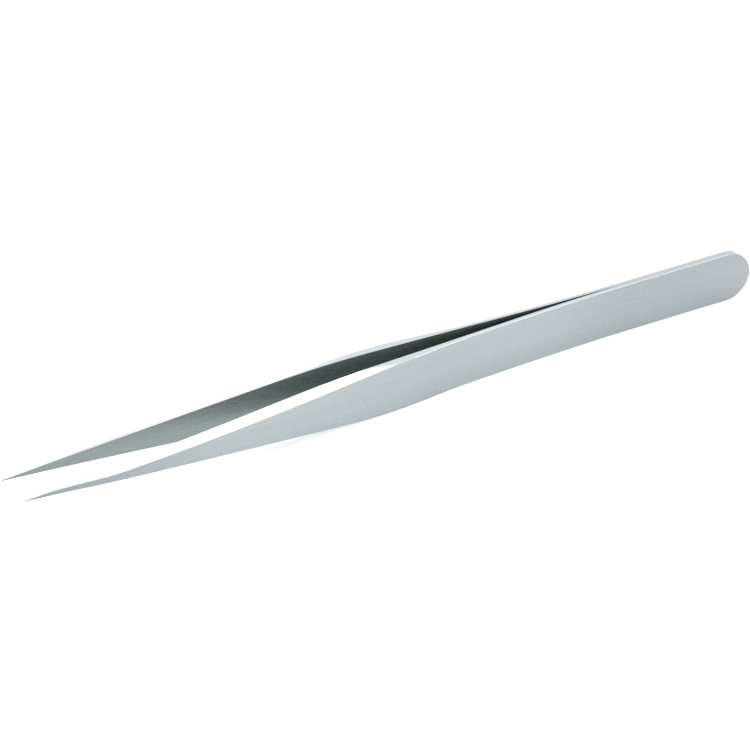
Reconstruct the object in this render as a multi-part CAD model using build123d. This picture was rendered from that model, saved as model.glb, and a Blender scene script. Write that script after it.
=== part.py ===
from build123d import *
import os
from math import cos, radians, sin, tan

# Pointed tweezers: two arms of spring steel, welded face to face at a round head.
# X runs from the tips to the head and Y from the front arm to the back arm.
# They lie on their long edges, and the origin is below the middle of the length,
# between the arms.

# Each arm seen from the side
overall_length = 140.0
arm_width = 9.0
tip_width = 0.12
# from the tip to where the inner face reaches the full width
taper_length = 58.5
# the ground flanks of the taper lean in towards the outer face, in degrees
flank_lean = 23.0
# and each rounds into the long edge of the arm
shoulder_radius = 8.0

# Lengths along the arm, the first three from the head inwards
weld_length = 22.0
spring_length = 32.0
swell_length = 8.0
# and the last two from the tip inwards
needle_length = 3.0
nose_length = 16.0

# Thickness of the arm at the weld and in the spring, at the finger grip, behind
# the nose and at the needle tip
blank_thickness = 0.7
grip_thickness = 1.8
nose_thickness = 1.48
tip_thickness = 0.16
# thickness gained for each millimetre where the spring runs out into the grip
swell_rate = 0.078

# Clear gap between the arms, at the tips and where the spring runs out
tip_gap = 7.2
spring_gap = 2.2
# how fast one arm leaves the middle at the end of the spring and at the tip
spring_rate = 0.055
tip_rate = 0.007

# The outer edges are broken along the whole blank, so by less than the tip is thick
edge_break = tip_thickness / 2

# Places along X
tip_x = -overall_length / 2
head_x = overall_length / 2
weld_x = head_x - weld_length
spring_x = weld_x - spring_length
swell_x = spring_x - swell_length
needle_x = tip_x + needle_length
nose_x = needle_x + nose_length
grip_x = (nose_x + swell_x) / 2


def sweep(start, start_rate, end, end_rate):
    """A smooth curve from start to end, with its sideways rate along X set at both."""
    third = (end[0] - start[0]) / 3
    return Bezier(
        start,
        (start[0] + third, start[1] + start_rate * third),
        (end[0] - third, end[1] - end_rate * third),
        end,
    )


def inner_finger():
    """The inner face from the tip to the end of the spring."""
    return sweep((tip_x, tip_gap / 2), -tip_rate, (spring_x, spring_gap / 2), -spring_rate)


def inner_at(x):
    """Height and rate of the inner face at x, between the tip and the spring."""
    finger = inner_finger()
    share = (x - tip_x) / (spring_x - tip_x)
    point = finger.position_at(share, position_mode=PositionMode.PARAMETER)
    heading = finger.tangent_at(share, position_mode=PositionMode.PARAMETER)
    return point.Y, heading.Y / heading.X


def outer_at(x, thickness, thickness_rate):
    """Point and rate of the outer face at x, a thickness off the inner face."""
    height, rate = inner_at(x)
    return (x, height + thickness), rate + thickness_rate


def inner_face():
    """The inner face seen from above, from the tip to the head."""
    spring_seat = (spring_x, spring_gap / 2)
    weld_seat = (weld_x, 0)
    return [
        inner_finger(),
        sweep(spring_seat, -spring_rate, weld_seat, 0),
        Line(weld_seat, (head_x, 0)),
    ]


def outer_face():
    """The outer face seen from above: needle, nose, grip, spring and welded head."""
    swelled = blank_thickness + swell_rate * swell_length / 2
    nose_growth = 2 * (grip_thickness - nose_thickness) / (grip_x - nose_x)
    weld_back = (weld_x, blank_thickness)
    stations = [
        outer_at(tip_x, tip_thickness, 0),
        outer_at(needle_x, tip_thickness, 0),
        outer_at(nose_x, nose_thickness, nose_growth),
        outer_at(grip_x, grip_thickness, 0),
        outer_at(swell_x, swelled, -swell_rate),
        outer_at(spring_x, blank_thickness, 0),
        (weld_back, 0),
    ]
    curves = []
    for (start, start_rate), (end, end_rate) in zip(stations[:-1], stations[1:]):
        curves.append(sweep(start, start_rate, end, end_rate))
    return [*curves, Line(weld_back, (head_x, blank_thickness))]


def arm_profile():
    """The back arm seen from above."""
    inner = inner_face()
    outer = outer_face()
    tip_end = Line(inner[0] @ 0, outer[0] @ 0)
    head_end = Line(inner[-1] @ 1, outer[-1] @ 1)
    return make_face([*inner, head_end, *outer, tip_end])


def side_outline():
    """The arm seen from the side before its taper is ground: a strip with a round head."""
    head_radius = arm_width / 2
    strip_length = overall_length - head_radius
    strip = Rectangle(strip_length, arm_width, align=(Align.MIN, Align.CENTER))
    head = Pos(head_x - head_radius, 0) * Circle(head_radius)
    return Plane.XZ * (Pos(tip_x, 0) * strip + head)


def shoulder_plane():
    """A plane square to the line where the upper flank would meet the long edge. Its x
    points to the flank. Returned with it is how steeply the flank falls away, in radians."""
    shoulder_x = tip_x + taper_length
    shoulder = Vector(shoulder_x, inner_at(shoulder_x)[0], arm_width / 2)
    along = shoulder - Vector(tip_x, tip_gap / 2, tip_width / 2)
    lean = radians(flank_lean)
    facing = along.cross(Vector(0, cos(lean), -sin(lean)))
    up = Vector(0, 0, 1)
    ridge = facing.cross(up)
    fall = radians(facing.get_angle(up))
    return Plane(origin=shoulder, x_dir=up.cross(ridge), z_dir=ridge), fall


def upper_grinding():
    """All that is ground away above the upper flank, a flat that rounds into the long edge."""
    across, fall = shoulder_plane()
    reach = 2 * overall_length
    blend = shoulder_radius * tan(fall / 2)
    edge_side = (-blend, 0)
    flank_side = (blend * cos(fall), -blend * sin(fall))
    far_side = (reach * cos(fall), -reach * sin(fall))
    rounding = TangentArc(edge_side, flank_side, tangent=(1, 0))
    rest = Polyline(flank_side, far_side, (far_side[0], reach), (-blend, reach), edge_side)
    section = across.offset(-reach) * make_face([rounding, rest])
    return extrude(section, 2 * reach)


def is_outer(face):
    """True for a face that looks away from the other arm."""
    return round(face.normal_at().Y) == 1


def make_blank():
    """The arm before its taper is ground, with its outer long edges broken."""
    profile = Pos(0, 0, -arm_width / 2) * arm_profile()
    reach = tip_gap + grip_thickness
    outline = Pos(0, reach, 0) * side_outline()
    blank = extrude(profile, arm_width) & extrude(outline, 2 * reach)
    outer_edges = blank.faces().filter_by(is_outer).edges()
    long_edges = outer_edges.filter_by(Axis.Z, reverse=True)
    return fillet(long_edges, edge_break)


def make_arm():
    """The back arm with both flanks of its taper ground, lying on its lower long edge."""
    upper = upper_grinding()
    lower = mirror(upper, about=Plane.XY)
    arm = make_blank() - upper - lower
    return Pos(0, 0, arm_width / 2) * arm


back_arm = make_arm()
front_arm = mirror(back_arm, about=Plane.XZ)

os.makedirs("parts", exist_ok=True)
export_step(back_arm, "parts/back_arm.step")
export_step(front_arm, "parts/front_arm.step")
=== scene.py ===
from math import cos, pi, radians, sin

import bpy
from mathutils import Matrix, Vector


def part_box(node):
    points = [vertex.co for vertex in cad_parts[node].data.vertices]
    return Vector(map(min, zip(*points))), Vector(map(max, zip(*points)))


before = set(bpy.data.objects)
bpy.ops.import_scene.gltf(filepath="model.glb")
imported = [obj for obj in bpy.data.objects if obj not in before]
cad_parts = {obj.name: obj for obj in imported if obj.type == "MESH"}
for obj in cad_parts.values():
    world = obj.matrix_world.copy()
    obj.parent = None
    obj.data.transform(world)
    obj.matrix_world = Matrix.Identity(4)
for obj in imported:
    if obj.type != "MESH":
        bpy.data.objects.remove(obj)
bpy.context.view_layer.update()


# The two arms
# Each is one strip of hardened stainless spring steel, swollen into a stiff finger and
# ground to a needle. The faces are belt ground along the length, the edges are wheel
# ground across, and the pair is resistance welded face to face at the round head.
MM = 0.001
ARMS = ("front_arm", "back_arm")
TIP_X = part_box("front_arm")[0][0]
HEAD_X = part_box("front_arm")[1][0]
# the welded head is the only place where the arms touch
WELD_X = HEAD_X - 22 * MM
# how far from the middle plane the hairline of the closed joint is still seen
SEAM_REACH = 0.035 * MM
# a face looks at least this much along Y, and an edge or flank at most that much
FACE_HEADING = 0.75
EDGE_HEADING = 0.65

# Belt lines are 0.02 to 0.05 mm across in fact, and are drawn about four times as
# coarse so that they show
BELT_LINE_WIDTH = 0.15 * MM
BELT_LINE_LENGTH = 4 * MM
# bands where the belt bit harder, and their share in the look of a face
BELT_BAND_WIDTH = 0.7 * MM
BELT_BAND_LENGTH = 40 * MM
BAND_SHARE = 0.35
# the hand turns the head against the belt, which bends its lines down there
BELT_BEND_START = WELD_X - 4 * MM
BELT_BEND_RADIUS = 95 * MM
# wheel marks across the edges, drawn twice as coarse as they are
WHEEL_LINE_WIDTH = 0.09 * MM
# nearly all of a noise pattern lies between these values
PATTERN_LOW = 0.3
PATTERN_HIGH = 0.7

# each pair is the value at the bottom of a ground line and on top of it
LINE_SHADE = (0.93, 1.05)
FACE_ROUGHNESS = (0.31, 0.25)
EDGE_ROUGHNESS = (0.2, 0.15)
LINE_DEPTH = 0.002 * MM
LINE_RELIEF = 0.5
# how far the ground lines stretch a highlight, from 0 for none to 1
HIGHLIGHT_STRETCH = 0.75

# the colour darkens more and more towards the needle: painted shade for the dark of the
# room, which the narrowing needle mirrors
NEEDLE_SHADE_START = TIP_X + 38 * MM
NEEDLE_SHADE_END = TIP_X + 2 * MM
NEEDLE_PAINTED_SHADE = 0.66
# the head is painted a little greyer: painted shade
HEAD_SHADE_START = WELD_X - 23 * MM
HEAD_PAINTED_SHADE = 0.89

OUTER_STEEL = "#a4a8aa"
# the inner faces' colour holds painted shade of the gap between the arms
INNER_SHADED_STEEL = "#9da5a4"
# the edges' lighter colour is a painted sheen
EDGE_SHEEN_STEEL = "#c3c8cc"
SEAM_STEEL = "#8c8e91"


def linear(code):
    """An sRGB hex colour as linear red, green, blue and alpha."""
    shares = [int(code[i:i + 2], 16) / 255 for i in (1, 3, 5)]
    return (*[s / 12.92 if s <= 0.04045 else ((s + 0.055) / 1.055) ** 2.4 for s in shares], 1)


def node(tree, kind, inputs=None, **settings):
    """A new node with its settings, each input linked to a socket or set to a value."""
    made = tree.nodes.new(kind)
    for name, value in settings.items():
        setattr(made, name, value)
    for name, value in (inputs or {}).items():
        if isinstance(value, bpy.types.NodeSocket):
            tree.links.new(value, made.inputs[name])
        else:
            made.inputs[name].default_value = value
    return made


def belt_noise(tree, x, level, width, length, detail, roughness):
    """Streaks along the arm, of a width and a length."""
    across = node(tree, "ShaderNodeMath", {0: level, 1: 1 / width}, operation="MULTIPLY")
    along = node(tree, "ShaderNodeMath", {0: x, 1: 1 / length}, operation="MULTIPLY")
    place = node(
        tree, "ShaderNodeCombineXYZ", {"X": along.outputs[0], "Y": across.outputs[0]}
    )
    return node(
        tree, "ShaderNodeTexNoise",
        {"Vector": place.outputs[0], "Scale": 1.0, "Detail": detail, "Roughness": roughness},
        noise_dimensions="2D",
    ).outputs["Fac"]


def ground_spring_steel():
    """Hardened stainless steel, belt ground on its faces and wheel ground on its edges."""
    # The lines give the faces an even satin, with every highlight stretched across them,
    # and the edges and flanks a narrower gleam, which a lighter colour on them brightens: painted
    # sheen.
    material = bpy.data.materials.new("ground_spring_steel")
    material.use_nodes = True
    tree = material.node_tree
    tree.nodes.clear()

    place = node(tree, "ShaderNodeTexCoord")
    at = node(tree, "ShaderNodeSeparateXYZ", {0: place.outputs["Object"]})
    facing = node(tree, "ShaderNodeSeparateXYZ", {0: place.outputs["Normal"]})
    x, y, z = at.outputs

    # broad faces look along Y; everything else is an edge, a flank or the round end
    sideways = node(tree, "ShaderNodeMath", {0: facing.outputs["Y"]}, operation="ABSOLUTE")
    edge = node(
        tree, "ShaderNodeMapRange",
        {"Value": sideways.outputs[0], "From Min": FACE_HEADING, "From Max": EDGE_HEADING},
        interpolation_type="SMOOTHSTEP",
    ).outputs["Result"]
    # an inner face looks towards the middle plane, so its Y and its heading differ in sign
    heading = node(tree, "ShaderNodeMath", {0: y, 1: facing.outputs["Y"]}, operation="MULTIPLY")
    inner = node(
        tree, "ShaderNodeMath", {0: heading.outputs[0], 1: 0.0}, operation="LESS_THAN"
    ).outputs[0]

    # the height that a belt line had before the head was turned against the belt
    past = node(tree, "ShaderNodeMath", {0: x, 1: BELT_BEND_START}, operation="SUBTRACT")
    turned = node(tree, "ShaderNodeMath", {0: past.outputs[0], 1: 0.0}, operation="MAXIMUM")
    squared = node(tree, "ShaderNodeMath", {0: turned.outputs[0], 1: 2.0}, operation="POWER")
    level = node(
        tree, "ShaderNodeMath",
        {0: squared.outputs[0], 1: 0.5 / BELT_BEND_RADIUS, 2: z},
        operation="MULTIPLY_ADD",
    ).outputs[0]

    # fine belt lines and the broader bands between them
    belt_lines = belt_noise(tree, x, level, BELT_LINE_WIDTH, BELT_LINE_LENGTH, 3.0, 0.6)
    belt_bands = belt_noise(tree, x, level, BELT_BAND_WIDTH, BELT_BAND_LENGTH, 2.0, 0.5)
    belt = node(
        tree, "ShaderNodeMix", {"Factor": BAND_SHARE, "A": belt_lines, "B": belt_bands},
        data_type="FLOAT",
    ).outputs["Result"]
    # wheel marks run straight across an edge, so they change only along X
    mark = node(tree, "ShaderNodeMath", {0: x, 1: 1 / WHEEL_LINE_WIDTH}, operation="MULTIPLY")
    wheel_marks = node(
        tree, "ShaderNodeTexNoise",
        {"W": mark.outputs[0], "Scale": 1.0, "Detail": 2.0},
        noise_dimensions="1D",
    ).outputs["Fac"]
    grind = node(
        tree, "ShaderNodeMix", {"Factor": edge, "A": belt, "B": wheel_marks}, data_type="FLOAT"
    ).outputs["Result"]

    # the closed joint at the head: edge surfaces within a hair of the middle plane
    off_middle = node(tree, "ShaderNodeMath", {0: y}, operation="ABSOLUTE")
    close = node(
        tree, "ShaderNodeMath", {0: off_middle.outputs[0], 1: SEAM_REACH}, operation="LESS_THAN"
    )
    seam = node(tree, "ShaderNodeMath", {0: close.outputs[0], 1: edge}, operation="MULTIPLY").outputs[0]

    # the inner faces are painted a little darker and greener than the outer ones: painted shade of the
    # narrow gap between the arms
    face = node(
        tree, "ShaderNodeMix",
        {"Factor": inner, 6: linear(OUTER_STEEL), 7: linear(INNER_SHADED_STEEL)},
        data_type="RGBA",
    ).outputs[2]
    # edges and flanks take the lighter colour: painted sheen
    steel = node(
        tree, "ShaderNodeMix", {"Factor": edge, 6: face, 7: linear(EDGE_SHEEN_STEEL)}, data_type="RGBA"
    ).outputs[2]
    # A ground line holds a little shade at its bottom and is a touch rougher there. The
    # wheel leaves the edges smoother than the belt leaves the faces.
    shade, face_rough, edge_rough = [
        node(
            tree, "ShaderNodeMapRange",
            {"Value": pattern, "From Min": PATTERN_LOW, "From Max": PATTERN_HIGH,
             "To Min": bottom, "To Max": top},
        ).outputs["Result"]
        for pattern, (bottom, top) in (
            (grind, LINE_SHADE), (belt, FACE_ROUGHNESS), (wheel_marks, EDGE_ROUGHNESS)
        )
    ]
    # painted shade, darker and darker towards the needle
    needle_shade = node(
        tree, "ShaderNodeMapRange",
        {"Value": x, "From Min": NEEDLE_SHADE_START, "From Max": NEEDLE_SHADE_END, "To Min": 1.0,
         "To Max": NEEDLE_PAINTED_SHADE},
    ).outputs["Result"]
    # painted shade, greyer on the head
    head_shade = node(
        tree, "ShaderNodeMapRange",
        {"Value": x, "From Min": HEAD_SHADE_START, "From Max": WELD_X, "To Min": 1.0,
         "To Max": HEAD_PAINTED_SHADE},
        interpolation_type="SMOOTHSTEP",
    ).outputs["Result"]
    # the painted shade of the needle and the head, laid over the shade of the ground lines
    painted_shade = node(tree, "ShaderNodeMath", {0: needle_shade, 1: head_shade}, operation="MULTIPLY").outputs[0]
    toned = node(tree, "ShaderNodeMath", {0: painted_shade, 1: shade}, operation="MULTIPLY").outputs[0]
    shaded_steel = node(
        tree, "ShaderNodeVectorMath", {0: steel, "Scale": toned}, operation="SCALE"
    ).outputs[0]
    colour = node(
        tree, "ShaderNodeMix", {"Factor": seam, 6: shaded_steel, 7: linear(SEAM_STEEL)}, data_type="RGBA"
    ).outputs[2]

    roughness = node(
        tree, "ShaderNodeMix", {"Factor": edge, "A": face_rough, "B": edge_rough}, data_type="FLOAT"
    ).outputs["Result"]
    relief = node(
        tree, "ShaderNodeBump",
        {"Height": grind, "Strength": LINE_RELIEF, "Distance": LINE_DEPTH},
    ).outputs["Normal"]
    # light spreads across the ground lines: up and down on the faces, which are ground
    # along the arm, and lengthwise on the edges, which are ground across it
    spread = node(
        tree, "ShaderNodeMix", {"Factor": edge, 4: (0, 0, 1), 5: (1, 0, 0)}, data_type="VECTOR"
    ).outputs[1]

    shader = node(
        tree, "ShaderNodeBsdfPrincipled",
        {
            "Base Color": colour, "Metallic": 1.0, "Roughness": roughness,
            "Anisotropic": HIGHLIGHT_STRETCH, "Normal": relief, "Tangent": spread,
        },
    )
    node(tree, "ShaderNodeOutputMaterial", {"Surface": shader.outputs[0]})
    return material


spring_steel = ground_spring_steel()
for name in ARMS:
    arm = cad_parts[name]
    arm.data.materials.clear()
    arm.data.materials.append(spring_steel)


# The table they lie on
# A light table's top: a smooth sheet of white opal acrylic, lit a little from below, so
# that the small bright tool throws next to no shadow. It is far larger than the view,
# and shows in the steel as an even white.
TABLE_REACH = 2.5
TABLE_WHITE = "#dedede"
TABLE_GLOW = 0.3
TABLE_ROUGHNESS = 0.6

table_mesh = bpy.data.meshes.new("table")
table_mesh.from_pydata(
    [(u * TABLE_REACH, v * TABLE_REACH, 0) for u, v in ((-1, -1), (1, -1), (1, 1), (-1, 1))],
    [],
    [(0, 1, 2, 3)],
)
table = bpy.data.objects.new("table", table_mesh)
bpy.context.collection.objects.link(table)
# finely matted acrylic scatters all it returns: an even white that mirrors nothing
opal = bpy.data.materials.new("matted_opal_acrylic")
opal.use_nodes = True
opal.node_tree.nodes.clear()
sheet = node(
    opal.node_tree, "ShaderNodeBsdfPrincipled",
    {
        "Base Color": linear(TABLE_WHITE), "Roughness": TABLE_ROUGHNESS,
        "Specular IOR Level": 0.0, "Emission Color": (1, 1, 1, 1),
        "Emission Strength": TABLE_GLOW,
    },
)
node(opal.node_tree, "ShaderNodeOutputMaterial", {"Surface": sheet.outputs[0]})
table_mesh.materials.append(opal)


# Light
# A white studio all round, and two softboxes brighter than it. A square one hangs over
# the table behind the head, and the ground flanks pick it up. A long one, a touch
# cooler, stands on the table in front and clears the shadow below the front arm.
ROOM_WHITE = "#fbfcfe"
ROOM_LEVEL = 1.3
OVERHEAD_SIDE = 0.9
OVERHEAD_PLACE = (0.6, 0.5, 1.4)
OVERHEAD_LEVEL = 1.8
OVERHEAD_WHITE = "#ffffff"
FRONT_WIDTH = 2.4
FRONT_HEIGHT = 0.9
FRONT_DISTANCE = 1.4
FRONT_LEVEL = 3.4
FRONT_WHITE = "#eef6f6"

world = bpy.data.worlds.new("white_room")
world.use_nodes = True
world.node_tree.nodes.clear()
room = node(
    world.node_tree, "ShaderNodeBackground", {"Color": linear(ROOM_WHITE), "Strength": ROOM_LEVEL}
)
node(world.node_tree, "ShaderNodeOutputWorld", {"Surface": room.outputs[0]})
bpy.context.scene.world = world


def softbox(name, place, width, height, level, white):
    """A rectangle of light at a place, facing the tweezers, its face as bright as level."""
    light = bpy.data.lights.new(name, "AREA")
    light.shape = "RECTANGLE"
    light.size = width
    light.size_y = height
    # an area light's power over pi times its area is how bright its face looks
    light.energy = level * pi * width * height
    light.color = linear(white)[:3]
    box = bpy.data.objects.new(name, light)
    box.location = place
    box.rotation_euler = Vector(place).to_track_quat("Z", "Y").to_euler()
    bpy.context.collection.objects.link(box)


softbox(
    "overhead", OVERHEAD_PLACE, OVERHEAD_SIDE, OVERHEAD_SIDE, OVERHEAD_LEVEL, OVERHEAD_WHITE
)
softbox(
    "front", (0, -FRONT_DISTANCE, FRONT_HEIGHT / 2), FRONT_WIDTH, FRONT_HEIGHT, FRONT_LEVEL,
    FRONT_WHITE
)


# Camera
# It looks down on the front arm from the tips' side, a metre away through a long
# lens. The photograph's frame is 750 by 753 pixels.
AZIMUTH = radians(-29.76)
ELEVATION = radians(31.83)
DISTANCE = 1.0
AIM = Vector((-2.87, 0, 5.49)) * MM
PHOTO_WIDTH = 750
FOCAL_PIXELS = 6070
SENSOR_WIDTH = 36

outward = Vector((sin(AZIMUTH) * cos(ELEVATION), -cos(AZIMUTH) * cos(ELEVATION), sin(ELEVATION)))
camera_data = bpy.data.cameras.new("camera")
camera_data.sensor_fit = "HORIZONTAL"
camera_data.sensor_width = SENSOR_WIDTH
camera_data.lens = FOCAL_PIXELS * SENSOR_WIDTH / PHOTO_WIDTH
camera = bpy.data.objects.new("camera", camera_data)
camera.location = AIM + DISTANCE * outward
camera.rotation_euler = outward.to_track_quat("Z", "Y").to_euler()
bpy.context.collection.objects.link(camera)
bpy.context.scene.camera = camera
bpy.context.scene.view_settings.view_transform = "Standard"
